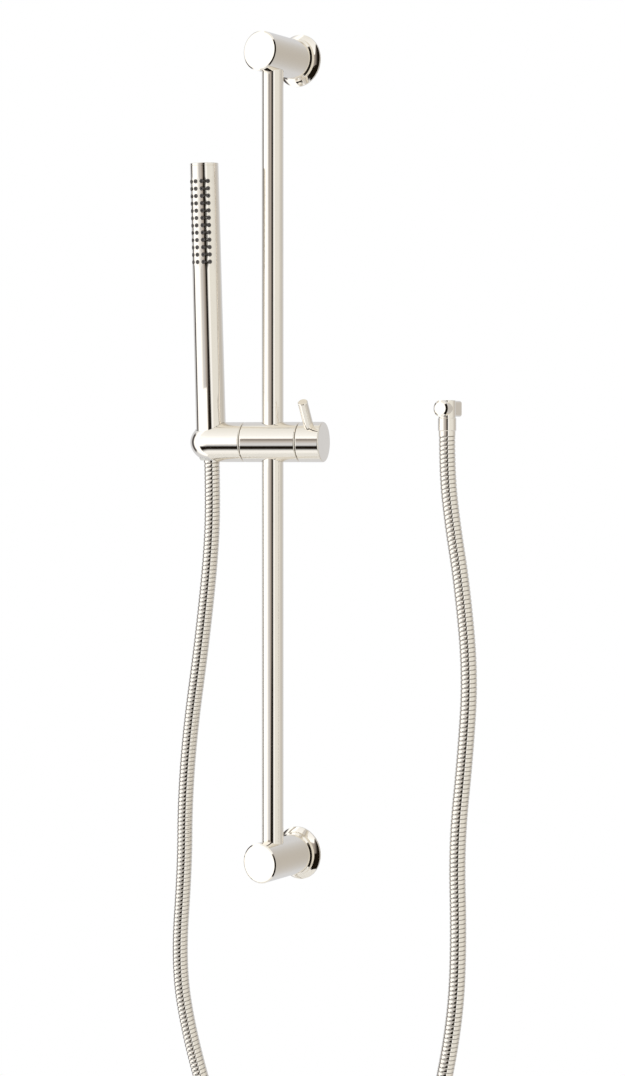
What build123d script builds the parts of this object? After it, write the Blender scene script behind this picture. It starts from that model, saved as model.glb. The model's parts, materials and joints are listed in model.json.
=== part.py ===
"""Slide-bar hand shower: two wall posts, a bar, a swivelling slider, a stick handset and its hose.

Millimetres. +Z is up along the bar, the wall is the plane Y = 0 and the set stands off it towards -Y.
The origin is the centre of the lower post's wall face.
"""
import os
from math import cos, radians, sin, tan

from build123d import *

os.makedirs("parts", exist_ok=True)

# ---- bar and wall brackets ------------------------------------------------------------------------
bar_radius = 9.5            # 19 mm bar
bar_wall = 1.5
stand_off = 42.0            # bar axis from the wall
post_spacing = 706.0        # between the two post axes
post_radius = 17.3
post_front = 62.0           # front face of a post from the wall
post_back = 9.4             # back face of a post from the wall, where it meets the flange
post_bevel = 1.2            # bevel round the front face, measured across the face
post_bevel_depth = 0.8
flange_radius = 23.1
flange_collar_radius = 18.9
flange_rim = 2.5            # front of the flange's thin rim, from the wall
flange_dome = 5.0           # from the wall to where the domed flange meets its collar
collar_bevel = 1.5          # on the collar's front edge
anchor_radius = 15.0
anchor_depth = 17.0
anchor_wall = 3.0
anchor_base = 4.0
fixing_spacing = 14.0       # between the two wall screws of one anchor
fixing_hole_radius = 2.25
gasket_thickness = 1.0
bar_insertion = 14.6        # length of bar inside each post
fit = 0.05                  # radial clearance of a running fit
loose = 0.3                 # clearance between faces that pass each other

# ---- slider ---------------------------------------------------------------------------------------
slider_height = 366.0       # slider axis above the lower post axis
slider_yaw = 16.0           # degrees; the handset end swings forward, away from the wall
slider_radius = 17.6
body_half_length = 25.5
seam = 0.4                  # gap that shows as the line between two sections
seam_edge = 1.1             # rounding of the edges on both sides of a seam
knob_end = 47.3
liner_radius = 12.0
liner_half_height = 12.5
pad_radius = 6.0
spindle_radius = 4.0
spigot_radius = 8.5
spigot_end = 32.0
lever_lean = 39.0           # degrees forward of straight up
lever_radius = 4.3
lever_length = 44.2         # from the slider axis to the tip
lever_place = 37.0          # along the slider axis

# ---- handset and its holder -----------------------------------------------------------------------
holder_reach = 57.5         # handset axis from the bar axis, along the slider
nose_start = 54.5           # the holder's rounded end, from the bar axis
nose_length = 21.8
handset_lean = 4.1          # degrees, top forwards
handset_spin = -4.7         # degrees, spray face about the handset axis
handset_top = 245.0         # top of the handset from the slider axis
handset_foot = 5.0          # bottom of the outer tube from the slider axis
foot_radius = 13.2
top_radius = 12.5
tube_wall = 1.3
socket_radius = 13.5
nozzle_rows = 12
nozzle_pitch = 6.38
first_row_drop = 16.1       # first row of nozzles below the top
nozzle_columns = (-39.0, -13.0, 13.0, 39.0)
nozzle_radius = 1.75
nozzle_hole_radius = 1.9
nozzle_tip = 13.2           # radius that the nozzle tips reach
cap_thickness = 2.3
cap_bevel = 0.25            # on both sides of the cap's seam
thread_radius = 10.45       # half-inch pipe thread on the handset inlet
waterway_radius = 6.0

# ---- hose and wall elbow --------------------------------------------------------------------------
hose_radius = 7.0
hose_bore = 5.6
inner_tube_radius = 5.4
inner_tube_bore = 4.1
ferrule_radius = 7.2
ferrule_end = 17.5          # below the slider axis, along the handset axis
elbow_x = 160.0
elbow_height = 394.0
elbow_radius = 7.0
elbow_length = 24.5
outlet_depth = 12.9         # outlet axis from the wall
outlet_nut_radius = 7.8
outlet_nut_top = 386.0
outlet_nut_foot = 375.0
hose_finish = 371.0

# ---- axes and planes ------------------------------------------------------------------------------
up = Vector(0, 0, 1)
along = Vector(cos(radians(slider_yaw)), sin(radians(slider_yaw)), 0)
forward = Vector(sin(radians(slider_yaw)), -cos(radians(slider_yaw)), 0)
handset_up = up * cos(radians(handset_lean)) + forward * sin(radians(handset_lean))
lever_out = up * cos(radians(lever_lean)) + forward * sin(radians(lever_lean))

slider_centre = Vector(0, -stand_off, slider_height)
holder_centre = slider_centre - along * holder_reach
slider_plane = Plane(origin=slider_centre, x_dir=along, z_dir=up)
slider_section = Plane(origin=slider_centre, x_dir=along, z_dir=up.cross(along))
slider_axis = Axis(slider_centre, along)
across_plane = Plane(origin=slider_centre, x_dir=up, z_dir=along)
holder_plane = Plane(origin=holder_centre, x_dir=along, z_dir=handset_up)
holder_section = Plane(origin=holder_centre, x_dir=along, z_dir=along.cross(handset_up))
holder_axis = Axis(holder_centre, handset_up)
spin_axis = Axis((0, 0, 0), handset_up)
handset_plane = Plane(
    origin=holder_centre, x_dir=along.rotate(spin_axis, handset_spin), z_dir=handset_up
)
lever_plane = Plane(origin=slider_centre + along * lever_place, x_dir=along, z_dir=lever_out)
elbow_centre = Vector(elbow_x, 0, elbow_height)
elbow_section = Plane(origin=elbow_centre, x_dir=(0, -1, 0), z_dir=(1, 0, 0))
elbow_axis = Axis(elbow_centre, (0, -1, 0))
outlet_section = Plane(origin=(elbow_x, -outlet_depth, 0), x_dir=(1, 0, 0), z_dir=(0, -1, 0))
outlet_axis = Axis((elbow_x, -outlet_depth, 0), (0, 0, 1))


def finish(piece, name):
    """Label one finished piece and write its STEP file."""
    piece.part.label = name
    export_step(piece.part, f"parts/{name}.step")


# ==== wall brackets: the upper one is the lower one turned over ====================================
grub_height = 13.4          # grub screw from the wall, in the post's hidden rim
lock_height = 8.0           # bar lock screw from the post axis, towards the bar
for side, post_height, toward_bar in (("lower", 0.0, 1), ("upper", post_spacing, -1)):
    centre = Vector(0, 0, post_height)
    section = Plane(origin=centre, x_dir=(0, -1, 0), z_dir=(1, 0, 0))
    axis = Axis(centre, (0, -1, 0))
    bar_bore_plane = Plane(origin=(0, -stand_off, post_height + toward_bar * (post_radius + 1)),
                           z_dir=(0, 0, -toward_bar))
    grub_plane = Plane(origin=(0, -grub_height, post_height), z_dir=(0, 0, -toward_bar))
    lock_plane = Plane(origin=(0, -anchor_depth, post_height + toward_bar * lock_height),
                       z_dir=(0, -1, 0))

    # turned post, hollow at the back where it slips over the anchor cup
    with BuildPart() as post:
        with BuildSketch(section):
            with BuildLine():
                Polyline(
                    (post_back, anchor_radius + 2 * fit),
                    (anchor_depth + 1, anchor_radius + 2 * fit),
                    (anchor_depth + 1, 0),
                    (post_front, 0),
                    (post_front, post_radius - post_bevel),
                    (post_front - post_bevel_depth, post_radius),
                    (post_back, post_radius),
                    close=True,
                )
            make_face()
        revolve(axis=axis)
        with BuildSketch(bar_bore_plane):
            Circle(bar_radius + fit)
        extrude(amount=bar_insertion + 1.2, mode=Mode.SUBTRACT)
        with BuildSketch(lock_plane):
            Circle(2.05)
        extrude(amount=stand_off - anchor_depth, mode=Mode.SUBTRACT)
        with BuildSketch(grub_plane):
            Circle(2.05)
        extrude(amount=post_radius + 1, mode=Mode.SUBTRACT)
    finish(post, f"{side}_post")

    # escutcheon: a flat disc, a coved step and a collar that the post butts on
    with BuildPart() as wall_flange:
        with BuildSketch(section):
            with BuildLine():
                Polyline(
                    (flange_rim, flange_radius),
                    (gasket_thickness, flange_radius),
                    (gasket_thickness, anchor_radius + 2 * fit),
                    (post_back, anchor_radius + 2 * fit),
                    (post_back, flange_collar_radius - collar_bevel),
                    (post_back - 0.7 * collar_bevel, flange_collar_radius),
                    (flange_dome, flange_collar_radius),
                )
                TangentArc(
                    (flange_rim, flange_radius),
                    (flange_dome, flange_collar_radius),
                    tangent=(0.73, -1),
                )
            make_face()
        revolve(axis=axis)
    finish(wall_flange, f"{side}_wall_flange")

    # rubber ring between the flange and the wall
    with BuildPart() as wall_gasket:
        with BuildSketch(Plane(origin=centre, z_dir=(0, -1, 0))):
            Circle(flange_radius - 0.6)
            Circle(anchor_radius + 1, mode=Mode.SUBTRACT)
        extrude(amount=gasket_thickness)
    finish(wall_gasket, f"{side}_wall_gasket")

    # cup screwed to the wall, with a groove round it for the grub screw
    with BuildPart() as wall_anchor:
        with BuildSketch(section):
            with BuildLine():
                Polyline(
                    (0, 0),
                    (anchor_base, 0),
                    (anchor_base, anchor_radius - anchor_wall),
                    (anchor_depth, anchor_radius - anchor_wall),
                    (anchor_depth, anchor_radius),
                    (grub_height + 3.4, anchor_radius),
                    (grub_height + 2.2, anchor_radius - 1.2),
                    (grub_height - 2.2, anchor_radius - 1.2),
                    (grub_height - 3.4, anchor_radius),
                    (0, anchor_radius),
                    close=True,
                )
            make_face()
        revolve(axis=axis)
        with BuildSketch(Plane(origin=centre, x_dir=(1, 0, 0), z_dir=(0, -1, 0))):
            with GridLocations(fixing_spacing, 1, 2, 1):
                Circle(fixing_hole_radius)
        extrude(amount=anchor_base, mode=Mode.SUBTRACT)
    finish(wall_anchor, f"{side}_wall_anchor")

# two grub screws that pull the posts onto their anchors, from the side away from the bar
with BuildPart() as post_grub_screws:
    for post_height, away in ((0.0, -1), (post_spacing, 1)):
        screw_plane = Plane(origin=(0, -grub_height, post_height), z_dir=(0, 0, away))
        with BuildSketch(screw_plane.offset(anchor_radius - 1.1)):
            Circle(2.0)
        extrude(amount=3.4)
        with BuildSketch(screw_plane.offset(anchor_radius + 0.8)):
            RegularPolygon(1.2, 6)
        extrude(amount=1.5, mode=Mode.SUBTRACT)
finish(post_grub_screws, "post_grub_screws")

# two screws inside the posts that lock the bar
with BuildPart() as bar_lock_screws:
    for height in (lock_height, post_spacing - lock_height):
        screw_plane = Plane(origin=(0, -anchor_depth - 5, height), z_dir=(0, -1, 0))
        with BuildSketch(screw_plane):
            Circle(2.0)
        extrude(amount=stand_off - bar_radius - anchor_depth - 5.05)
        with BuildSketch(screw_plane):
            RegularPolygon(1.0, 6)
        extrude(amount=2.5, mode=Mode.SUBTRACT)
finish(bar_lock_screws, "bar_lock_screws")

# ==== slide bar ====================================================================================
bar_foot = post_radius - bar_insertion
bar_length = post_spacing - 2 * bar_foot
with BuildPart() as slide_bar:
    with BuildSketch(Plane(origin=(0, -stand_off, bar_foot), z_dir=(0, 0, 1))):
        Circle(bar_radius)
        Circle(bar_radius - bar_wall, mode=Mode.SUBTRACT)
    extrude(amount=bar_length)
finish(slide_bar, "slide_bar")

with BuildPart() as bar_end_plugs:
    for height in (bar_foot, bar_foot + bar_length - 12):
        with BuildSketch(Plane(origin=(0, -stand_off, height), z_dir=(0, 0, 1))):
            Circle(bar_radius - bar_wall - fit)
            Circle(bar_radius - bar_wall - 2, mode=Mode.SUBTRACT)
        extrude(amount=12)
finish(bar_end_plugs, "bar_end_plugs")

# ==== slider =======================================================================================
# split nylon collar that runs on the bar
with BuildPart() as slider_liner:
    with BuildSketch(slider_plane.offset(-liner_half_height)):
        Circle(liner_radius)
        Circle(bar_radius + fit, mode=Mode.SUBTRACT)
        with Locations((-liner_radius, 0)):
            Rectangle(2 * (liner_radius - bar_radius) + 2, 1.6, mode=Mode.SUBTRACT)
    extrude(amount=2 * liner_half_height)
finish(slider_liner, "slider_liner")

# middle section: it swivels on the liner, and carries the holder's pivot and the clamp
with BuildPart() as slider_body:
    with BuildSketch(slider_section) as body_profile:
        with BuildLine():
            Polyline(
                (-body_half_length, 0),
                (-body_half_length, slider_radius),
                (body_half_length, slider_radius),
                (body_half_length, spigot_radius),
                (29.0, spigot_radius),
                (29.0, spigot_radius - 1),
                (30.2, spigot_radius - 1),
                (30.2, spigot_radius),
                (spigot_end, spigot_radius),
                (spigot_end, 0),
                close=True,
            )
        make_face()
        fillet(body_profile.vertices().group_by(Axis.Y)[-1], seam_edge)
    revolve(axis=slider_axis)
    with BuildSketch(slider_plane.offset(-slider_radius)):
        Circle(bar_radius + loose)
    extrude(amount=2 * slider_radius, mode=Mode.SUBTRACT)
    with BuildSketch(slider_plane.offset(-liner_half_height - fit)):
        Circle(liner_radius + fit)
    extrude(amount=2 * (liner_half_height + fit), mode=Mode.SUBTRACT)
    with BuildSketch(across_plane):
        Circle(pad_radius + fit)
    extrude(amount=19.5, mode=Mode.SUBTRACT)
    with BuildSketch(across_plane):
        Circle(spindle_radius + fit)
    extrude(amount=spigot_end + 1, mode=Mode.SUBTRACT)
    with BuildSketch(across_plane.offset(-body_half_length)):
        Circle(3.05)
    extrude(amount=11, mode=Mode.SUBTRACT)
finish(slider_body, "slider_body")

# brake pad: its hollow face bears on the liner
with BuildPart() as brake_pad:
    with BuildSketch(across_plane.offset(8)):
        Circle(pad_radius)
    extrude(amount=10)
    with BuildSketch(slider_plane.offset(-slider_radius)):
        Circle(liner_radius + fit)
    extrude(amount=2 * slider_radius, mode=Mode.SUBTRACT)
finish(brake_pad, "brake_pad")

# keyed screw that pushes the pad, driven by the knob's thread
with BuildPart() as clamp_spindle:
    with BuildSketch(across_plane.offset(18)):
        Circle(spindle_radius)
    extrude(amount=23)
    chamfer(clamp_spindle.edges().sort_by(slider_axis)[-1], 0.8)
finish(clamp_spindle, "clamp_spindle")

with BuildPart() as knob_retaining_ring:
    with BuildSketch(across_plane.offset(29.05)):
        Circle(9.4)
        Circle(spigot_radius - 1 + fit, mode=Mode.SUBTRACT)
        with Locations((0, spigot_radius)):
            Rectangle(5, 4, mode=Mode.SUBTRACT)
    extrude(amount=1.1)
finish(knob_retaining_ring, "knob_retaining_ring")

# clamp knob: flat-ended drum that turns on the slider's spigot
knob_start = body_half_length + seam
with BuildPart() as clamp_knob:
    with BuildSketch(slider_section) as knob_profile:
        with BuildLine():
            Polyline(
                (knob_start, spigot_radius + 0.1),
                (28.9, spigot_radius + 0.1),
                (28.9, 9.6),
                (30.3, 9.6),
                (30.3, spigot_radius + 0.1),
                (spigot_end + 0.4, spigot_radius + 0.1),
                (spigot_end + 0.4, spindle_radius + fit),
                (43.5, spindle_radius + fit),
                (43.5, 0),
                (knob_end, 0),
                (knob_end, slider_radius),
                (knob_start, slider_radius),
                close=True,
            )
        make_face()
        fillet(knob_profile.vertices().group_by(Axis.Y)[-1], seam_edge)
    revolve(axis=slider_axis)
    with BuildSketch(lever_plane.offset(14.5)):
        Circle(lever_radius + fit)
    extrude(amount=8, mode=Mode.SUBTRACT)
    with BuildSketch(lever_plane.offset(7)):
        Circle(2.5 + fit)
    extrude(amount=8, mode=Mode.SUBTRACT)
finish(clamp_knob, "clamp_knob")

# peg lever screwed into the knob
with BuildPart() as clamp_lever:
    with BuildSketch(lever_plane.offset(14.6)):
        Circle(lever_radius)
    extrude(amount=lever_length - 14.6)
    chamfer(clamp_lever.edges().sort_by(Axis(slider_centre, lever_out))[-1], 0.5)
    with BuildSketch(lever_plane.offset(8)):
        Circle(2.5)
    extrude(amount=7)
finish(clamp_lever, "clamp_lever")

# ==== handset holder: it tilts about the slider axis ===============================================
shell_face = -body_half_length - seam
bolt_head_start = -43.0
bolt_shoulder_start = -38.5
# the nut's outside, from its top down: (radius, height along the handset axis)
nut_outside = ((12.4, 4.8), (12.3, -6.5), (8.8, -15.5))

with BuildPart() as holder_shell:
    with BuildSketch(slider_section) as shell_profile:
        with BuildLine():
            Line((-nose_start - nose_length, 0), (shell_face, 0))
            Line((shell_face, 0), (shell_face, slider_radius))
            Line((shell_face, slider_radius), (-nose_start, slider_radius))
            EllipticalCenterArc((-nose_start, 0), nose_length, slider_radius, 90, arc_size=90)
        make_face()
        fillet(shell_profile.vertices().group_by(Axis.Y)[-1].sort_by(Axis.X)[-1], seam_edge)
    revolve(axis=slider_axis)
    # socket: straight for the handset, then a cone for the hose nut's seat
    with BuildSketch(holder_section):
        with BuildLine():
            Polyline(
                (0, 24),
                (socket_radius, 24),
                (socket_radius, -7.5),
                (10.3, -15.6),
                (10.3, -24),
                (0, -24),
                close=True,
            )
        make_face()
    revolve(axis=holder_axis, mode=Mode.SUBTRACT)
    # pivot: bolt head, shank and washer recess
    with BuildSketch(across_plane.offset(bolt_shoulder_start)):
        Circle(5.7)
    extrude(amount=-12, mode=Mode.SUBTRACT)
    with BuildSketch(across_plane.offset(bolt_shoulder_start)):
        Circle(4.1)
    extrude(amount=16, mode=Mode.SUBTRACT)
    with BuildSketch(across_plane.offset(shell_face)):
        Circle(10)
    extrude(amount=-1.2, mode=Mode.SUBTRACT)
finish(holder_shell, "holder_shell")

# plastic cone that the hose nut rests in
with BuildPart() as holder_insert:
    with BuildSketch(holder_section):
        with BuildLine():
            Polyline(
                (socket_radius - 0.03, 1.0),
                (socket_radius - 0.03, -7.5),
                (10.27, -15.6),
                (9.1, -15.6),
                (12.6, -6.5),
                (12.7, 1.0),
                close=True,
            )
        make_face()
    revolve(axis=holder_axis)
finish(holder_insert, "holder_insert")

with BuildPart() as holder_pivot_bolt:
    with BuildSketch(slider_section):
        with BuildLine():
            Polyline(
                (bolt_head_start, 0),
                (bolt_head_start, 5.4),
                (bolt_shoulder_start - 0.8, 5.4),
                (bolt_shoulder_start - 0.8, 4.0),
                (-body_half_length, 4.0),
                (-body_half_length, 3.0),
                (-body_half_length + 10, 3.0),
                (-body_half_length + 10, 0),
                close=True,
            )
        make_face()
    revolve(axis=slider_axis)
    with BuildSketch(across_plane.offset(bolt_head_start)):
        RegularPolygon(2.6, 6)
    extrude(amount=3, mode=Mode.SUBTRACT)
finish(holder_pivot_bolt, "holder_pivot_bolt")

with BuildPart() as holder_spring_washer:
    with BuildSketch(across_plane.offset(bolt_shoulder_start - 0.7)):
        Circle(5.4)
        Circle(4.1, mode=Mode.SUBTRACT)
    extrude(amount=0.6)
finish(holder_spring_washer, "holder_spring_washer")

with BuildPart() as holder_friction_washer:
    with BuildSketch(across_plane.offset(-body_half_length)):
        Circle(9.7)
        Circle(4.1, mode=Mode.SUBTRACT)
    extrude(amount=-1.3)
finish(holder_friction_washer, "holder_friction_washer")

# ==== handset ======================================================================================
first_row = handset_top - first_row_drop
middle_row = first_row - nozzle_pitch * (nozzle_rows - 1) / 2
nozzle_planes = []
spray_centre = holder_centre + handset_up * middle_row
for column in nozzle_columns:
    # the spray face looks along the handset plane's -Y
    facing = (-handset_plane.y_dir).rotate(spin_axis, column)
    nozzle_planes.append(Plane(origin=spray_centre, x_dir=handset_up, z_dir=facing))

# tapered outer tube with one hole for each nozzle
with BuildPart() as handset_tube:
    with BuildSketch(holder_section):
        with BuildLine():
            Polyline(
                (foot_radius - tube_wall, handset_foot),
                (foot_radius, handset_foot),
                (top_radius + 0.01, handset_top - cap_thickness - cap_bevel),
                (top_radius - cap_bevel, handset_top - cap_thickness),
                (top_radius - tube_wall, handset_top - cap_thickness),
                close=True,
            )
        make_face()
    revolve(axis=holder_axis)
    for nozzle_plane in nozzle_planes:
        with BuildSketch(nozzle_plane):
            with GridLocations(nozzle_pitch, 1, nozzle_rows, 1):
                Circle(nozzle_hole_radius)
        extrude(amount=foot_radius + 2, mode=Mode.SUBTRACT)
finish(handset_tube, "handset_tube")

with BuildPart() as handset_top_cap:
    with BuildSketch(holder_section):
        with BuildLine():
            Polyline(
                (0, handset_top),
                (top_radius - 0.3, handset_top),
                (top_radius, handset_top - 0.3),
                (top_radius, handset_top - cap_thickness + cap_bevel),
                (top_radius - cap_bevel, handset_top - cap_thickness),
                (11.0, handset_top - cap_thickness),
                (11.0, handset_top - 3),
                (9.8, handset_top - 3),
                (9.8, handset_top - 4.6),
                (11.0, handset_top - 4.6),
                (11.0, handset_top - 6),
                (0, handset_top - 6),
                close=True,
            )
        make_face()
    revolve(axis=holder_axis)
finish(handset_top_cap, "handset_top_cap")

with BuildPart() as top_cap_o_ring:
    with BuildSketch(handset_plane.offset(handset_top - 4.5)):
        Circle(11.1)
        Circle(9.85, mode=Mode.SUBTRACT)
    extrude(amount=1.4)
finish(top_cap_o_ring, "top_cap_o_ring")

# silicone strip behind the tube wall, with a tip standing through each hole
strip_half = 43.0
strip_foot = middle_row - strip_half
strip_angle = 54.0
with BuildPart() as nozzle_strip:
    with BuildSketch(handset_plane.offset(strip_foot)):
        with BuildLine():
            outer = CenterArc((0, 0), 11.0, -90 - strip_angle, 2 * strip_angle)
            inner = CenterArc((0, 0), 9.6, -90 - strip_angle, 2 * strip_angle)
            Line(outer @ 0, inner @ 0)
            Line(outer @ 1, inner @ 1)
        make_face()
    extrude(amount=2 * strip_half)
    for nozzle_plane in nozzle_planes:
        with BuildSketch(nozzle_plane.offset(10)):
            with GridLocations(nozzle_pitch, 1, nozzle_rows, 1):
                Circle(nozzle_radius)
        extrude(amount=nozzle_tip - 10)
    for nozzle_plane in nozzle_planes:
        with BuildSketch(nozzle_plane.offset(9)):
            with GridLocations(nozzle_pitch, 1, nozzle_rows, 1):
                Circle(0.5)
        extrude(amount=nozzle_tip - 8, mode=Mode.SUBTRACT)
finish(nozzle_strip, "nozzle_strip")

# plastic chamber that feeds the strip, open towards the nozzles
chamber_foot = strip_foot - 4
chamber_top = handset_top - 6.5
with BuildPart() as spray_chamber:
    with BuildSketch(handset_plane.offset(chamber_foot)):
        Circle(9.5)
    extrude(amount=chamber_top - chamber_foot)
    with BuildSketch(handset_plane.offset(chamber_foot + 3)):
        Circle(7.6)
    extrude(amount=chamber_top - chamber_foot - 5, mode=Mode.SUBTRACT)
    with BuildSketch(handset_plane.offset(chamber_foot + 5)):
        with Locations((0, -8)):
            Rectangle(13, 8)
    extrude(amount=2 * strip_half - 4, mode=Mode.SUBTRACT)
    with BuildSketch(handset_plane.offset(chamber_foot)):
        Circle(waterway_radius + fit)
    extrude(amount=2, mode=Mode.SUBTRACT)
    with BuildSketch(handset_plane.offset(chamber_foot)):
        Circle(4.8)
    extrude(amount=4, mode=Mode.SUBTRACT)
finish(spray_chamber, "spray_chamber")

with BuildPart() as inner_waterway:
    with BuildSketch(handset_plane.offset(handset_foot + 5)):
        Circle(waterway_radius)
        Circle(4.8, mode=Mode.SUBTRACT)
    extrude(amount=chamber_foot + 2 - handset_foot - 5)
finish(inner_waterway, "inner_waterway")

# brass inlet: a plug in the tube's foot and the threaded end that the hose nut takes
thread_end = handset_foot - 10.8
with BuildPart() as inlet_connector:
    with BuildSketch(holder_section):
        with BuildLine():
            Polyline(
                (5.5, thread_end),
                (thread_radius - 0.6, thread_end),
                (thread_radius, thread_end + 0.6),
                (thread_radius, handset_foot),
                (foot_radius - tube_wall - 0.1, handset_foot),
                (foot_radius - tube_wall - 0.1, handset_foot + 10),
                (waterway_radius + fit, handset_foot + 10),
                (waterway_radius + fit, handset_foot + 5),
                (5.5, handset_foot + 5),
                close=True,
            )
        make_face()
    revolve(axis=holder_axis)
finish(inlet_connector, "inlet_connector")

with BuildPart() as flow_regulator:
    with BuildSketch(handset_plane.offset(-3)):
        Circle(5.45)
        with PolarLocations(3.2, 6):
            Circle(0.8, mode=Mode.SUBTRACT)
    extrude(amount=4)
finish(flow_regulator, "flow_regulator")

with BuildPart() as filter_washer:
    with BuildSketch(handset_plane.offset(thread_end - 1.6)):
        Circle(9.6)
        Circle(5.5, mode=Mode.SUBTRACT)
    extrude(amount=1.6)
finish(filter_washer, "filter_washer")

with BuildPart() as hose_nut:
    with BuildSketch(holder_section):
        with BuildLine():
            Polyline(
                *nut_outside,
                (7.5, -15.5),
                (7.5, -9.4),
                (9.8, -9.4),
                (thread_radius + fit, -6.6),
                (thread_radius + fit, 4.8),
                close=True,
            )
        make_face()
    revolve(axis=holder_axis)
finish(hose_nut, "hose_nut")

# ==== hose end at the handset ======================================================================
# flanged tail inside the hose, held by the nut; the nut turns round it
with BuildPart() as handset_hose_tail:
    with BuildSketch(holder_section):
        with BuildLine():
            Polyline(
                (2.8, -7.5),
                (9.3, -7.5),
                (9.3, -9.1),
                (4.0, -9.1),
                (4.0, -ferrule_end - 8),
                (2.8, -ferrule_end - 8),
                close=True,
            )
        make_face()
    revolve(axis=holder_axis)
finish(handset_hose_tail, "handset_hose_tail")

with BuildPart() as handset_ferrule:
    with BuildSketch(holder_plane.offset(-9.2)):
        Circle(ferrule_radius)
        Circle(4.05, mode=Mode.SUBTRACT)
    extrude(amount=-(ferrule_end - 9.2))
finish(handset_ferrule, "handset_ferrule")

# ==== wall elbow ===================================================================================
cap_depth = 3.0
cap_plug_depth = 6.7        # from the front face to the end of the cap's plug
bore_radius = 4.2
inlet_radius = 5.2
inlet_length = 9.0
boss_radius = 7.3
branch_half_width = 6.7
branch_corner = 2.2
boss_foot = 386.15
with BuildPart() as elbow_body:
    with BuildSketch(elbow_section):
        with BuildLine():
            Polyline(
                (outlet_depth, 0),
                (outlet_depth, elbow_radius),
                (elbow_length - cap_depth, elbow_radius),
                (elbow_length - cap_depth, 0),
                close=True,
            )
        make_face()
    revolve(axis=elbow_axis)
    # square branch that stands against the wall
    with BuildSketch(Plane(origin=elbow_centre, z_dir=(0, -1, 0))):
        RectangleRounded(2 * branch_half_width, 2 * branch_half_width, branch_corner)
    extrude(amount=outlet_depth)
    # upright barrel, with the outlet that the nut turns on below it
    with BuildSketch(outlet_section):
        with BuildLine():
            Polyline(
                (0, elbow_height + elbow_radius),
                (boss_radius - 0.4, elbow_height + elbow_radius),
                (boss_radius, elbow_height + elbow_radius - 0.4),
                (boss_radius, boss_foot),
                (6.0, boss_foot),
                (6.0, 381.0),
                (4.6, 381.0),
                (4.6, 379.0),
                (0, 379.0),
                close=True,
            )
        make_face()
    revolve(axis=outlet_axis)
    # inlet thread, waterway and the recess that the front cap plugs
    with BuildSketch(elbow_section):
        with BuildLine():
            Polyline(
                (0, 0),
                (0, inlet_radius),
                (inlet_length, inlet_radius),
                (inlet_length, bore_radius),
                (elbow_length - cap_plug_depth - 0.3, bore_radius),
                (elbow_length - cap_plug_depth - 0.3, 5.6),
                (elbow_length - cap_depth, 5.6),
                (elbow_length - cap_depth, 0),
                close=True,
            )
        make_face()
    revolve(axis=elbow_axis, mode=Mode.SUBTRACT)
    with BuildSketch(Plane(origin=(elbow_x, -outlet_depth, 378.0), z_dir=(0, 0, 1))):
        Circle(3.6)
    extrude(amount=elbow_height - 378.0, mode=Mode.SUBTRACT)
finish(elbow_body, "elbow_body")

# bevelled disc that closes the elbow's front
with BuildPart() as elbow_front_cap:
    with BuildSketch(elbow_section):
        with BuildLine():
            Polyline(
                (elbow_length - cap_plug_depth, 0),
                (elbow_length - cap_plug_depth, 5.55),
                (elbow_length - cap_depth, 5.55),
                (elbow_length - cap_depth, elbow_radius),
                (elbow_length - 1.1, elbow_radius),
                (elbow_length, elbow_radius - 1.65),
                (elbow_length, 0),
                close=True,
            )
        make_face()
    revolve(axis=elbow_axis)
finish(elbow_front_cap, "elbow_front_cap")

with BuildPart() as outlet_seal:
    with BuildSketch(Plane(origin=(elbow_x, -outlet_depth, 379.1), z_dir=(0, 0, 1))):
        Circle(5.9)
        Circle(4.65, mode=Mode.SUBTRACT)
    extrude(amount=1.8)
finish(outlet_seal, "outlet_seal")

# swivel nut: its collar turns on the elbow's outlet
with BuildPart() as outlet_nut:
    with BuildSketch(outlet_section):
        with BuildLine():
            Polyline(
                (6.3, outlet_nut_top),
                (outlet_nut_radius - 0.3, outlet_nut_top),
                (outlet_nut_radius, outlet_nut_top - 0.3),
                (outlet_nut_radius, outlet_nut_foot + 0.6),
                (outlet_nut_radius - 0.6, outlet_nut_foot),
                (4.3, outlet_nut_foot),
                (4.3, 377.5),
                (6.3, 377.5),
                close=True,
            )
        make_face()
    revolve(axis=outlet_axis)
finish(outlet_nut, "outlet_nut")

with BuildPart() as outlet_ferrule:
    with BuildSketch(Plane(origin=(elbow_x, -outlet_depth, hose_finish), z_dir=(0, 0, 1))):
        Circle(ferrule_radius - 0.1)
        Circle(4.05, mode=Mode.SUBTRACT)
    extrude(amount=outlet_nut_foot - hose_finish)
finish(outlet_ferrule, "outlet_ferrule")

with BuildPart() as outlet_hose_tail:
    with BuildSketch(Plane(origin=(elbow_x, -outlet_depth, hose_finish - 8), z_dir=(0, 0, 1))):
        Circle(4.0)
        Circle(2.8, mode=Mode.SUBTRACT)
    extrude(amount=378.5 - hose_finish + 8)
finish(outlet_hose_tail, "outlet_hose_tail")

# ==== hose =========================================================================================
# It leaves the holder along the handset axis, hangs in front of the wall and comes up to the elbow.
hose_start = holder_centre - handset_up * ferrule_end
hose_route = [
    hose_start,
    holder_centre - handset_up * 56,
    Vector(-60.5, -52, 262),
    Vector(-72, -50, 186),
    Vector(-87, -48, 105),
    Vector(-94, -46, 40),
    Vector(-95, -45, -15),
    Vector(-104, -43, -105),
    Vector(-93, -41, -168),
    Vector(-68, -39, -240),
    Vector(-30, -38, -295),
    Vector(30, -36, -325),
    Vector(95, -34, -310),
    Vector(140, -32, -260),
    Vector(162, -30, -192),
    Vector(177, -28, -115),
    Vector(179, -26, -50),
    Vector(175, -23, 30),
    Vector(182, -20, 105),
    Vector(185.5, -18, 172),
    Vector(176, -15.5, 246),
    Vector(166, -14, 296),
    Vector(elbow_x, -outlet_depth, 338),
    Vector(elbow_x, -outlet_depth, hose_finish),
]
runs = [after - before for before, after in zip(hose_route, hose_route[1:])]
hose_radii = []
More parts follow.
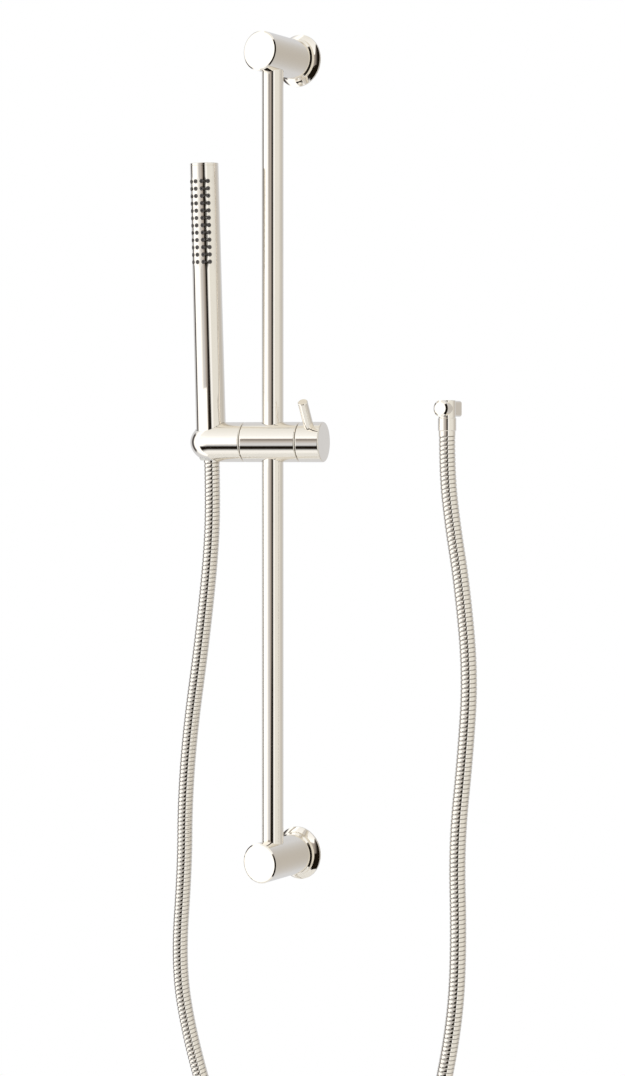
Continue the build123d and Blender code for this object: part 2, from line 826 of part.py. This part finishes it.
for before, after in zip(runs, runs[1:]):
    shorter = min(before.length, after.length)
    turn = radians(before.get_angle(after))
    hose_radii.append(0.45 * shorter / tan(turn / 2))
print("hose bend radii, mm:", [round(radius) for radius in hose_radii])

with BuildPart() as hose:
    with BuildLine() as hose_path:
        FilletPolyline(*hose_route, radius=hose_radii)
    with BuildSketch(Plane(origin=hose_path.line @ 0, z_dir=hose_path.line % 0)):
        Circle(hose_radius)
        Circle(hose_bore, mode=Mode.SUBTRACT)
    sweep()
finish(hose, "hose")

with BuildPart() as hose_inner_tube:
    with BuildLine() as tube_path:
        FilletPolyline(*hose_route, radius=hose_radii)
    with BuildSketch(Plane(origin=tube_path.line @ 0, z_dir=tube_path.line % 0)):
        Circle(inner_tube_radius)
        Circle(inner_tube_bore, mode=Mode.SUBTRACT)
    sweep()
finish(hose_inner_tube, "hose_inner_tube")

hose_length = sum(edge.length for edge in hose_path.edges())
section_area = 3.14159265 * (hose_radius**2 - hose_bore**2)
print("hose length", round(hose_length, 1), "mm, volume over section times length",
      round(hose.part.volume / (section_area * hose_length), 4))
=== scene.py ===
# %% [markdown]
# # A slide-bar hand shower
#
# The CAD model gives every part at its own size and place. This script adds what CAD leaves out: the wound
# metal hose, the finishes, the room they mirror, and the camera. It reads from top to bottom, one idea to a
# cell, and each cell prints what it made.

# %% Load the frame
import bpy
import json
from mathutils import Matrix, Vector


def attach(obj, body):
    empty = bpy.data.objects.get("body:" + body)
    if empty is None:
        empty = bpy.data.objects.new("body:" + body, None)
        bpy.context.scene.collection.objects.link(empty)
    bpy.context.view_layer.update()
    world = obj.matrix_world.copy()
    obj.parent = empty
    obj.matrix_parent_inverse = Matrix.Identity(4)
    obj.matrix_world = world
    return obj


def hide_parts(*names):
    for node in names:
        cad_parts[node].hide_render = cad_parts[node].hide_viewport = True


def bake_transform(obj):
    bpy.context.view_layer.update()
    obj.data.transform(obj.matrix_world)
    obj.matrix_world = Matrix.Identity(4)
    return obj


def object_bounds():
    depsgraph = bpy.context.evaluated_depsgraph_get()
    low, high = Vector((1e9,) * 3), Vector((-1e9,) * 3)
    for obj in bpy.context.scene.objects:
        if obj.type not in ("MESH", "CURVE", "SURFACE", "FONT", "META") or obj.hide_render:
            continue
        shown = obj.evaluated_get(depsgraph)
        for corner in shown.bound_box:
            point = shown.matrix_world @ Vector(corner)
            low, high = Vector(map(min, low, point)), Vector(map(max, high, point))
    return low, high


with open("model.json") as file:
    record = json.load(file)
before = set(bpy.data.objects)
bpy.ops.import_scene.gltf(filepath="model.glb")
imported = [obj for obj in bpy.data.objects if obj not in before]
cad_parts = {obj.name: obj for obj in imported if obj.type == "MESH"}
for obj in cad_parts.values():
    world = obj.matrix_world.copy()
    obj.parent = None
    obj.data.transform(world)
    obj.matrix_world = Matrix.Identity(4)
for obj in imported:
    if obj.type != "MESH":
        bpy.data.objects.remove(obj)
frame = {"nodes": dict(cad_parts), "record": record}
cad_low, cad_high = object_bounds()
print("CAD box from", cad_low, "to", cad_high)

# %% [markdown]
# ## The camera
#
# The set is seen from its right, at about the height of the slider, from nearly two metres away with a
# long lens, so upright lines stay upright. The lens is shifted down a little instead of tilting the camera.

# %% Camera
import json
import math
import bpy
import numpy as np
from mathutils import Vector

CAMERA_PLACE = Vector((1.0691, -1.5473, 0.360))
CAMERA_BEARING = 34.3
LENS = 70.5
LENS_SHIFT = -0.0828

scene = bpy.context.scene
lens = bpy.data.cameras.new("studio camera")
lens.sensor_fit = "VERTICAL"
lens.sensor_height = 36
lens.lens = LENS
lens.shift_y = LENS_SHIFT
camera = bpy.data.objects.new("studio camera", lens)
camera.location = CAMERA_PLACE
camera.rotation_euler = (math.pi / 2, 0, math.radians(CAMERA_BEARING))
scene.collection.objects.link(camera)
scene.camera = camera
scene.view_settings.view_transform = "Standard"
print("camera at", CAMERA_PLACE, "with a", LENS, "mm lens")

# %% [markdown]
# ## The hose
#
# A shower hose is a fixed length of something flexible. It leaves the nut under the holder, hangs in a
# long loop, and comes up again to the elbow on the wall. The list is the route of the CAD tube, in
# metres, from the holder to the elbow. A NURBS line with these points as its control points runs smoothly
# through the loop, as a hanging hose does.

# %% The hose's line
HOSE_ROUTE = [
    (-0.05562, -0.05665, 0.34855), (-0.05638, -0.05400, 0.31014), (-0.0605, -0.0520, 0.262),
    (-0.0720, -0.0500, 0.186), (-0.0870, -0.0480, 0.105), (-0.0940, -0.0460, 0.040),
    (-0.0950, -0.0450, -0.015), (-0.1040, -0.0430, -0.105), (-0.0930, -0.0410, -0.168),
    (-0.0680, -0.0390, -0.240), (-0.0300, -0.0380, -0.295), (0.0300, -0.0360, -0.325),
    (0.0950, -0.0340, -0.310), (0.1400, -0.0320, -0.260), (0.1620, -0.0300, -0.192),
    (0.1770, -0.0280, -0.115), (0.1790, -0.0260, -0.050), (0.1750, -0.0230, 0.030),
    (0.1820, -0.0200, 0.105), (0.1855, -0.0180, 0.172), (0.1760, -0.0155, 0.246),
    (0.1660, -0.0140, 0.296), (0.1600, -0.0129, 0.338), (0.1600, -0.0129, 0.371),
]

curve = bpy.data.curves.new("hose line", "CURVE")
curve.dimensions = "3D"
curve.resolution_u = 40
spline = curve.splines.new("NURBS")
spline.points.add(len(HOSE_ROUTE) - 1)
for point, place in zip(spline.points, HOSE_ROUTE):
    point.co = (*place, 1)
spline.order_u = 3
spline.use_endpoint_u = True
line_object = bpy.data.objects.new("hose line", curve)
scene.collection.objects.link(line_object)
line_mesh = bpy.data.meshes.new_from_object(line_object)
hose_line = np.array([v.co[:] for v in line_mesh.vertices])
bpy.data.objects.remove(line_object)
hose_steps = np.linalg.norm(np.diff(hose_line, axis=0), axis=1)
hose_travel = np.concatenate([[0], np.cumsum(hose_steps)])
HOSE_LENGTH = float(hose_travel[-1])
print(f"the hose's line is {HOSE_LENGTH:.3f} m long")

# %% [markdown]
# A small frame travels along the line and never twists: at every step the old sideways direction is
# turned just enough to stay square to the new heading. The line is carried on straight for one turn of
# the jacket at both ends, so that the jacket starts and finishes inside the metal ferrules.

# %% A frame that travels along the hose
TURN_WIDTH = 0.00365

heading = np.gradient(hose_line, hose_travel, axis=0)
heading /= np.linalg.norm(heading, axis=1)[:, None]
before, after = hose_line[0] - heading[0] * TURN_WIDTH, hose_line[-1] + heading[-1] * TURN_WIDTH
hose_line = np.vstack([before, hose_line, after])
heading = np.vstack([heading[0], heading, heading[-1]])
hose_travel = np.concatenate([[-TURN_WIDTH], hose_travel, [HOSE_LENGTH + TURN_WIDTH]])
sideways = np.zeros_like(heading)
sideways[0] = np.cross(heading[0], (0, 1, 0))
sideways[0] /= np.linalg.norm(sideways[0])
for i in range(1, len(heading)):
    sideways[i] = sideways[i - 1] - heading[i] * (sideways[i - 1] @ heading[i])
    sideways[i] /= np.linalg.norm(sideways[i])


def along_hose(travel, values):
    """The values at these distances along the hose."""
    return np.stack([np.interp(travel, hose_travel, values[:, k]) for k in range(3)], axis=-1)


print("headings from", heading[0].round(2), "to", heading[-1].round(2))

# %% [markdown]
# The metal jacket is one strip of steel, folded into an S and wound into a screw. From outside it shows
# as a broad, nearly flat turn with a narrow groove after it. So the jacket here is a screw as well: each
# row of points climbs by one turn's width on its way round and meets the next turn where it ends.

# %% The wound jacket
HOSE_DIAMETER = 0.014
GROOVE_DEPTH = 0.0006
POINTS_ROUND = 28
TURN_SHAPE = [(0.00, 1.0), (0.08, 0.97), (0.15, 0.42), (0.22, 0.15), (0.40, 0.04), (0.55, 0.0),
              (0.70, 0.04), (0.88, 0.15), (0.95, 0.42)]

rows_a_turn = len(TURN_SHAPE)
turns = int(HOSE_LENGTH / TURN_WIDTH) + 3
row_travel, row_radius, row_depth = [], [], []
for turn in range(turns):
    for place, depth in TURN_SHAPE:
        row_travel.append((turn - 1 + place) * TURN_WIDTH)
        row_radius.append(HOSE_DIAMETER / 2 - depth * GROOVE_DEPTH)
        row_depth.append(depth)
row_count = len(row_travel)

angles = np.arange(POINTS_ROUND) * 2 * math.pi / POINTS_ROUND
travel = np.array(row_travel)[:, None] + TURN_WIDTH * angles[None, :] / (2 * math.pi)
out_one = along_hose(travel, sideways)
out_two = np.cross(along_hose(travel, heading), out_one)
outward = out_one * np.cos(angles)[None, :, None] + out_two * np.sin(angles)[None, :, None]
jacket = along_hose(travel, hose_line) + np.array(row_radius)[:, None, None] * outward
print(turns, "turns of", TURN_WIDTH * 1000, "mm,", row_count * POINTS_ROUND, "points")

# %% [markdown]
# The hose crosses three joints: the tilting holder, the slider's turn and the slider's travel. The jacket
# is cut into four lengths that meet edge to edge, each between two distances from the holder. The last
# length, which rises to the elbow, is attached to the root. The other three stay where they are made.

# %% Four lengths of hose
def hose_length(name, start, end):
    """A piece of the jacket between two distances from the holder."""
    first = round(start / TURN_WIDTH) * rows_a_turn
    last = min(round(end / TURN_WIDTH) * rows_a_turn, row_count - 1 - rows_a_turn)
    faces = []
    for row in range(first, last):
        for k in range(POINTS_ROUND):
            nearer, further = row * POINTS_ROUND + k, (row + 1) * POINTS_ROUND + k
            step = 1 if k < POINTS_ROUND - 1 else rows_a_turn * POINTS_ROUND - k
            faces.append((nearer, nearer + step, further + step, further))
    used = sorted({corner for face in faces for corner in face})
    number = {corner: n for n, corner in enumerate(used)}
    points = jacket.reshape(-1, 3)[used]
    mesh = bpy.data.meshes.new(name)
    mesh.from_pydata(points.tolist(), [], [[number[c] for c in face] for face in faces])
    depth = mesh.attributes.new("groove", "FLOAT", "POINT")
    depth.data.foreach_set("value", [row_depth[c // POINTS_ROUND] for c in used])
    mesh.polygons.foreach_set("use_smooth", [True] * len(mesh.polygons))
    piece = bpy.data.objects.new(name, mesh)
    scene.collection.objects.link(piece)
    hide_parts("hose", "hose_inner_tube")
    line_travel = np.arange(row_travel[first], min(row_travel[last], HOSE_LENGTH) + TURN_WIDTH, 0.002)
    path = along_hose(line_travel, hose_line)
    return piece, path


TILT_END = 0.125
SWIVEL_END = 0.43
SLIDE_END = 1.01
hose_top, top_path = hose_length("hose_at_the_holder", 0, TILT_END)
hose_drop, drop_path = hose_length("hose_drop", TILT_END, SWIVEL_END)
hose_loop, loop_path = hose_length("hose_loop", SWIVEL_END, SLIDE_END)
hose_rise, rise_path = hose_length("hose_rise", SLIDE_END, HOSE_LENGTH + 3 * TURN_WIDTH)

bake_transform(hose_top)
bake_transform(hose_drop)
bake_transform(hose_loop)
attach(hose_rise, "root")

# %% [markdown]
# ## Writing materials as sums
#
# A finish is easier to read as a sum than as a diagram. Value wraps one output of a node, and +, - and *
# on it add the Math node that does the same. Kit makes any other node from its type, its settings and what
# goes into its sockets, and mixes colours.

# %% Material kit
class Value:
    """A number that varies over a surface, and can be used in sums."""

    def __init__(self, kit, socket):
        self.kit = kit
        self.socket = socket

    def __add__(self, other):
        return self.kit.maths("ADD", self, other)

    def __sub__(self, other):
        return self.kit.maths("SUBTRACT", self, other)

    def __rsub__(self, other):
        return self.kit.maths("SUBTRACT", other, self)

    def __mul__(self, other):
        return self.kit.maths("MULTIPLY", self, other)

    __radd__ = __add__
    __rmul__ = __mul__


class Kit:
    """Makes and joins the nodes of one tree."""

    def __init__(self, tree):
        self.tree = tree
        self.tree.nodes.clear()

    def join(self, value, socket):
        if isinstance(value, Value):
            self.tree.links.new(value.socket, socket)
        else:
            socket.default_value = value

    def node(self, kind, settings=None, sockets=None):
        made = self.tree.nodes.new(kind)
        for name, value in (settings or {}).items():
            setattr(made, name, value)
        shown = {socket.name: socket for socket in reversed(made.inputs) if socket.enabled}
        for name, value in (sockets or {}).items():
            self.join(value, shown[name])
        return made

    def out(self, made, name):
        """The node's output of that name, to use in sums."""
        return Value(self, next(s for s in made.outputs if s.name == name and s.enabled))

    def maths(self, operation, *values):
        made = self.node("ShaderNodeMath", {"operation": operation})
        for value, socket in zip(values, made.inputs):
            self.join(value, socket)
        return self.out(made, "Value")

    def mix(self, factor, a, b):
        """Colour a where factor is 0 and colour b where it is 1."""
        made = self.node("ShaderNodeMix", {"data_type": "RGBA"}, {"Factor": factor, "A": a, "B": b})
        return self.out(made, "Result")

    def noise(self, place, scale, detail=3.0, roughness=0.5):
        """Cloudy variation from 0 to 1. A bigger scale gives smaller clouds."""
        made = self.node("ShaderNodeTexNoise", {},
                         {"Vector": place, "Scale": scale, "Detail": detail, "Roughness": roughness})
        return self.out(made, "Fac")

    def rise(self, value, low, high):
        """0 below low, 1 above high, and a soft S between them."""
        made = self.node("ShaderNodeMapRange", {"interpolation_type": "SMOOTHSTEP"},
                         {"Value": value, "From Min": low, "From Max": high})
        return self.out(made, "Result")

    def band(self, value, low, high, soft):
        """1 between low and high, falling to 0 over soft outside each edge."""
        return self.rise(value, low - soft, low) * (1 - self.rise(value, high, high + soft))


print("kit ready")

# %% [markdown]
# ## The studio
#
# Polished nickel has almost no look of its own: it shows the room. The room here is a bright paper tent
# with gaps and cards in it, and those are what the stripes on the metal are. It isn't plain light: in
# another room the same nickel would have other stripes. Directions come first: right is in degrees to the
# right of the camera, and height in degrees above level.

# %% Directions in the room
world = bpy.data.worlds.new("studio")
scene.world = world
world.use_nodes = True
room = Kit(world.node_tree)
direction = room.node("ShaderNodeTexCoord")
split = room.node("ShaderNodeSeparateXYZ", {}, {"Vector": room.out(direction, "Generated")})
east, north, up = (room.out(split, axis) for axis in "XYZ")
bearing = room.maths("ARCTAN2", east, north * -1) * (180 / math.pi) - CAMERA_BEARING
right = room.maths("WRAP", bearing, 180.0, -180.0)
height = room.maths("ARCSINE", up) * (180 / math.pi)
print("the camera stands", CAMERA_BEARING, "degrees round from the front")

# %% [markdown]
# WALLS goes once round the room: the tall dark gap that the camera looks through, a lamp's edge, a warm
# card, greyer paper behind, and on the left the brightest sheet. HEIGHTS goes from straight down to
# straight up: the table, its dark edge on the left, then the lamp overhead.

# %% Colours of the room
LAMP = (1.25, 1.25, 1.25, 1)
SHEET = (1.04, 1.04, 1.04, 1)
CARD = (0.84, 0.83, 0.79, 1)
PAPER = (0.70, 0.71, 0.74, 1)
SHADE = (0.62, 0.60, 0.58, 1)
GREY = (0.55, 0.52, 0.48, 1)
DUSK = (0.53, 0.49, 0.46, 1)
BROWN = (0.34, 0.30, 0.27, 1)
STRIP = (0.30, 0.27, 0.25, 1)
DARK = (0.09, 0.08, 0.08, 1)
GAP = (0.010, 0.007, 0.004, 1)
WALLS = [(-180, PAPER), (-125, PAPER), (-105, LAMP), (-60, LAMP), (-41, SHADE), (-26, DUSK), (-15, BROWN),
         (-6, GAP), (3, GAP), (12, SHEET), (21, SHEET), (26, CARD), (66, CARD), (108, GREY), (150, PAPER),
         (180, PAPER)]
HEIGHTS = [(-90, GREY), (-78, CARD), (-48, SHEET), (-36, GAP), (-24, GAP), (-17, PAPER), (-9, PAPER),
           (3, DUSK), (10, STRIP), (16, STRIP), (20, LAMP), (34, SHEET), (76, CARD), (90, GREY)]


def ramp(kit, value, low, high, stops):
    """The colours of stops, blended in between, for a value from low to high."""
    made = kit.node("ShaderNodeValToRGB", {}, {"Fac": (value - low) * (1 / (high - low))})
    bar = made.color_ramp
    while len(bar.elements) < len(stops):
        bar.elements.new(0.5)
    for element, (place, colour) in zip(bar.elements, stops):
        element.position = (place - low) / (high - low)
        element.color = colour
    return kit.out(made, "Color")


walls = ramp(room, right, -180.0, 180.0, WALLS)
heights = ramp(room, height, -90.0, 90.0, HEIGHTS)
print(len(WALLS), "stops round the room and", len(HEIGHTS), "up it")

# %% [markdown]
# The walls reach WALL_REACH degrees above and below level, and HEIGHTS takes over past them. On the left
# front they are lower, and lowest at a narrow opening. A dark gap runs under the camera, and a dark strip
# stands at the left rear. The camera itself sees plain white behind the object.

# %% The room that the metal mirrors
WALL_REACH, FRONT_DIP, OPENING_DIP = 62.0, 46.0, 20.0
SPREAD_BELOW, SPREAD_RATE, MOST_SPREAD = 4.0, 1.8, 20.0

left_front = room.band(right, -76.0, -16.0, 10.0)
left_gap = room.band(right, -41.0, -33.0, 5.0)
reach = WALL_REACH - left_front * FRONT_DIP - left_gap * OPENING_DIP
above = room.maths("ABSOLUTE", height) - reach
round_about = room.mix(room.rise(above, 0.0, 4.0), walls, heights)
# the gap gets wider further down, where the table's front edge is in shadow too
widening = room.maths("MAXIMUM", (height + SPREAD_BELOW) * -SPREAD_RATE, 0.0)
spread = room.maths("MINIMUM", widening, MOST_SPREAD)
gap_width = room.rise(right + spread, -13.0, -7.0) * (1 - room.rise(right, 5.0, 10.0))
table_gap = room.band(height, -48.0, -7.0, 3.0) * gap_width
dark_strip = room.band(height, -26.0, 22.0, 8.0) * room.band(right, -127.0, -114.0, 8.0)
surround = room.mix(dark_strip, room.mix(table_gap, round_about, GAP), DARK)

seen = room.node("ShaderNodeLightPath")
shown = room.mix(room.out(seen, "Is Camera Ray"), surround, (1, 1, 1, 1))
background = room.node("ShaderNodeBackground", {}, {"Color": shown, "Strength": 1.0})
room.node("ShaderNodeOutputWorld", {}, {"Surface": room.out(background, "Background")})
print("the room has", len(world.node_tree.nodes), "nodes")

# %% [markdown]
# The floor is a plain pale disc, low enough for the loop of the hose when the slider is at its lowest.

# %% Floor
FLOOR_DROP = 0.66
FLOOR_RADIUS = 0.60
FLOOR_CENTRE = 0.04
RIM_POINTS = 96

rim_angles = [2 * math.pi * k / RIM_POINTS for k in range(RIM_POINTS)]
rim = [(FLOOR_CENTRE + FLOOR_RADIUS * math.cos(a), FLOOR_RADIUS * math.sin(a), -FLOOR_DROP)
       for a in rim_angles]
floor_mesh = bpy.data.meshes.new("floor")
floor_mesh.from_pydata(rim, [], [list(range(RIM_POINTS))])
floor = bpy.data.objects.new("floor", floor_mesh)
scene.collection.objects.link(floor)
print("floor at", -FLOOR_DROP, "m")

# %% [markdown]
# A small lit card stands just in front of where the holder is at rest, so that the holder reads as one
# bright highlight next to the banded slider. Only reflections see it. It isn't part of the object, and it
# stays where it is when the holder moves.

# %% A card for the holder
CARD_LEFT, CARD_RIGHT, CARD_Y, CARD_FOOT, CARD_TOP = -0.16, -0.0275, -0.166, 0.343, 0.404


def lit_card(name, corners):
    """A small white card that shines on its own and is seen only as a reflection."""
    glow = bpy.data.materials.new(name)
    glow.use_nodes = True
    kit = Kit(glow.node_tree)
    light = kit.node("ShaderNodeEmission", {}, {"Color": LAMP, "Strength": 1.0})
    kit.node("ShaderNodeOutputMaterial", {}, {"Surface": kit.out(light, "Emission")})
    mesh = bpy.data.meshes.new(name)
    mesh.from_pydata(corners, [], [(0, 1, 2, 3)])
    mesh.materials.append(glow)
    card = bpy.data.objects.new(name, mesh)
    card.visible_camera = False
    card.visible_diffuse = False
    card.visible_shadow = False
    scene.collection.objects.link(card)


lit_card("card for the holder", [
    (CARD_LEFT, CARD_Y, CARD_FOOT), (CARD_RIGHT, CARD_Y, CARD_FOOT),
    (CARD_RIGHT, CARD_Y, CARD_TOP), (CARD_LEFT, CARD_Y, CARD_TOP)])
print("card", round(CARD_RIGHT - CARD_LEFT, 4), "m wide and", round(CARD_TOP - CARD_FOOT, 4), "m high")

# %% [markdown]
# Two large soft lamps give the rubber and the floor some shape. The metal doesn't mirror them.

# %% Lamps
def soft_lamp(name, place, target, size, power):
    """A large square lamp that faces the target and isn't seen itself."""
    light = bpy.data.lights.new(name, "AREA")
    light.size = size
    light.energy = power
    lamp = bpy.data.objects.new(name, light)
    lamp.location = place
    facing = Vector(target) - Vector(place)
    lamp.rotation_euler = facing.to_track_quat("-Z", "Y").to_euler()
    lamp.visible_glossy = False
    lamp.visible_camera = False
    scene.collection.objects.link(lamp)
    print(name, "of", power, "watts")


middle = (cad_low + cad_high) / 2
soft_lamp("left lamp", (-1.2, -1.6, 1.6), middle, 1.2, 14)
soft_lamp("right lamp", (1.8, -0.6, 0.9), middle, 1.4, 8)

# %% [markdown]
# ## The finishes
#
# Each finish below is one function. They all start in the same way: the surface's own place in metres,
# so that the pattern stays at its real size on every part.

# %% Starting a finish
def new_finish(name):
    """An empty material, its kit, and the place on the part in metres."""
    material = bpy.data.materials.new(name)
    material.use_nodes = True
    kit = Kit(material.node_tree)
    place = kit.out(kit.node("ShaderNodeTexCoord"), "Object")
    return material, kit, place


def finish_surface(kit, settings, varying, bump=None, bump_height=0.00002):
    """The shader itself: settings are the same all over, varying ones are worked out above."""
    sockets = dict(settings)
    sockets.update(varying)
    if bump is not None:
        dents = kit.node("ShaderNodeBump", {}, {"Height": bump, "Strength": 1.0, "Distance": bump_height})
        sockets["Normal"] = kit.out(dents, "Normal")
    shader = kit.node("ShaderNodeBsdfPrincipled", {}, sockets)
    kit.node("ShaderNodeOutputMaterial", {}, {"Surface": kit.out(shader, "BSDF")})


print("finishes start in metres")

# %% [markdown]
# ### Polished nickel
#
# Nickel plate over polished brass. It is warmer than chrome, which shows in the pale gold of every
# highlight. Buffing leaves the surface a little uneven: broad cloudy patches where it is a touch duller,
# and very fine swirls that a lamp picks out.

# %% Polished nickel
def polished_nickel():
    material, kit, place = new_finish("polished nickel")
    clouds = kit.noise(place, 22.0, 4.0)
    swirls = kit.noise(place, 900.0, 2.0, 0.6)
    warmth = kit.rise(clouds, 0.35, 0.65)
    colour = kit.mix(warmth, (0.93, 0.885, 0.81, 1), (0.915, 0.872, 0.80, 1))
    roughness = 0.045 + clouds * 0.03 + swirls * 0.012
    finish_surface(kit, {"Metallic": 1.0}, {"Base Color": colour, "Roughness": roughness},
                   bump=clouds + swirls * 0.02, bump_height=0.00004)
    return material


NICKEL = polished_nickel()
print(NICKEL.name)

# %% [markdown]
# ### Hose jacket
#
# The same plate on wound steel strip. The crests are polished by handling. The grooves keep a trace of
# limescale, so they are duller, and their colour is also darkened there as painted shade; the jacket
# carries its groove depth for that.

# %% Hose metal
def hose_metal():
    material, kit, place = new_finish("hose metal")
    groove = kit.out(kit.node("ShaderNodeAttribute", {"attribute_name": "groove"}), "Fac")
    clouds = kit.noise(place, 60.0, 3.0)
    crest = kit.mix(clouds, (0.92, 0.87, 0.79, 1), (0.88, 0.84, 0.77, 1))
    # painted shade with a trace of limescale: the colour darkens to brown-grey towards the groove bottoms,
    # where the turns shade each other
    colour = kit.mix(kit.rise(groove, 0.3, 0.95), crest, (0.30, 0.28, 0.26, 1))
    roughness = 0.05 + groove * 0.2 + clouds * 0.03
    finish_surface(kit, {"Metallic": 1.0}, {"Base Color": colour, "Roughness": roughness})
    return material


HOSE_METAL = hose_metal()
print(HOSE_METAL.name)

# %% [markdown]
# ### Turned brass and plain steel
#
# The wall anchors, the handset's inlet, the hose tails and the clamp spindle are turned brass. The screws,
# the pivot bolt, the spring washer and the knob's ring are stainless steel. Both show faint lathe rings.

# %% Brass and steel
def turned_metal(name, light, dark, dullness):
    material, kit, place = new_finish(name)
    clouds = kit.noise(place, 90.0, 4.0)
    rings = kit.node("ShaderNodeTexWave", {"wave_type": "BANDS", "bands_direction": "Z"},
                     {"Vector": place, "Scale": 900.0, "Distortion": 1.5, "Detail": 2.0})
    lathe = kit.out(rings, "Fac")
    colour = kit.mix(clouds, light, dark)
    roughness = dullness + clouds * 0.12 + lathe * 0.06
    finish_surface(kit, {"Metallic": 1.0}, {"Base Color": colour, "Roughness": roughness},
                   bump=lathe, bump_height=0.00001)
    return material


BRASS = turned_metal("turned brass", (0.80, 0.62, 0.32, 1), (0.66, 0.49, 0.24, 1), 0.24)
STEEL = turned_metal("stainless steel", (0.66, 0.66, 0.65, 1), (0.54, 0.54, 0.54, 1), 0.27)
print(BRASS.name, "and", STEEL.name)

# %% [markdown]
# ### Rubber, silicone, nylon
#
# Moulded parts take a fine even grain from the mould and have hardly any gloss. The floor's paper is
# made in the same way, with a coarser grain.

# %% Moulded parts
def moulded(name, light, dark, dullness, grain=1400.0):
    material, kit, place = new_finish(name)
    clouds = kit.noise(place, 70.0, 4.0)
    pits = kit.noise(place, grain, 2.0, 0.7)
    colour = kit.mix(kit.rise(clouds * 0.7 + pits * 0.3, 0.3, 0.7), light, dark)
    roughness = dullness + pits * 0.15
    finish_surface(kit, {"IOR": 1.48}, {"Base Color": colour, "Roughness": roughness},
                   bump=pits, bump_height=0.00002)
    return material


RUBBER = moulded("black rubber", (0.030, 0.029, 0.028, 1), (0.018, 0.018, 0.018, 1), 0.6)
SILICONE = moulded("nozzle silicone", (0.105, 0.095, 0.092, 1), (0.065, 0.058, 0.056, 1), 0.45)
NYLON = moulded("natural nylon", (0.80, 0.79, 0.75, 1), (0.70, 0.69, 0.65, 1), 0.4)
LINER = moulded("hose liner", (0.52, 0.54, 0.52, 1), (0.44, 0.46, 0.45, 1), 0.35)
FLOOR_PAPER = moulded("floor paper", (0.86, 0.86, 0.85, 1), (0.83, 0.83, 0.82, 1), 0.8, 60.0)
print(RUBBER.name, SILICONE.name, NYLON.name, LINER.name, FLOOR_PAPER.name)

# %% [markdown]
# ## Putting the finishes on
#
# The record says which finish each CAD part has, so the parts are gone through once and each gets the
# material that stands for its finish.

# %% Finishes on parts
FINISHES = {
    "polished_nickel": NICKEL,
    "hose_metal": HOSE_METAL,
    "brass": BRASS,
    "stainless_steel": STEEL,
    "black_rubber": RUBBER,
    "nozzle_silicone": SILICONE,
    "nylon": NYLON,
    "hose_liner": LINER,
}
for part in frame["record"]["subparts"]:
    for slot in frame["nodes"][part["node"]].material_slots:
        slot.material = FINISHES[part["material_slot"]]
for piece in (hose_top, hose_drop, hose_loop, hose_rise):
    piece.data.materials.append(HOSE_METAL)
floor.data.materials.append(FLOOR_PAPER)
